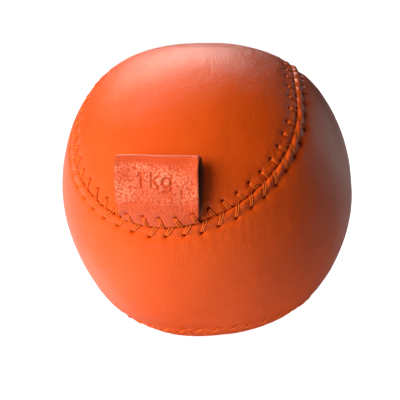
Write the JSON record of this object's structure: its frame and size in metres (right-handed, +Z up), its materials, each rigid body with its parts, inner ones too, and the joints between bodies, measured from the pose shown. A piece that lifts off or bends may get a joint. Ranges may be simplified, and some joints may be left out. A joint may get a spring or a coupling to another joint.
{
  "type": "medicine ball",
  "caption": "Hand-size weighted ball with a hand-stitched figure-eight leather cover, a folded leather tag in the seam and a flat resting patch.",
  "frame": {"origin": "centre of the flat resting patch, on the floor plane", "axes": "+Z up through the ball's centre, -Y towards the side that carries the tag, +X to the right when the tag faces the viewer"},
  "size_m": [0.0974, 0.1041, 0.0961],
  "materials": {
    "cover_leather": "smooth fine-grained orange leather, soft satin sheen",
    "tag_leather": "coarser pebbled coral-orange leather, satin",
    "waxed_thread": "waxed doubled thread, light orange, slight sheen",
    "pad_felt": "matt wool felt",
    "bag_cloth": "plain woven unbleached cotton",
    "cotton_cord": "twisted cotton cord",
    "mineral_grains": "loose heavy mineral grains"
  },
  "bodies": {
    "ball": {"cover_panel_crown": "cover_leather", "cover_panel_belly": "cover_leather", "seam_thread": "waxed_thread", "tag_root": "tag_leather", "felt_pad_crown": "pad_felt", "felt_pad_belly": "pad_felt", "inner_bag_gore_1": "bag_cloth", "inner_bag_gore_2": "bag_cloth", "inner_bag_gore_3": "bag_cloth", "inner_bag_gore_4": "bag_cloth", "inner_bag_base_disc": "bag_cloth", "bag_tie_cord": "cotton_cord", "weight_fill": "mineral_grains"},
    "tag": {"tag_flap": "tag_leather"}
  },
  "joints": [
    {"name": "tag_hinge", "type": "hinge", "parent": "ball", "child": "tag", "pos_m": [-0.01441, -0.05022, 0.04983], "axis": [0.9612, -0.2745, 0.0276], "range_deg": [-1.5, 135], "stiffness_Nm_per_rad": 0.002}
  ]
}
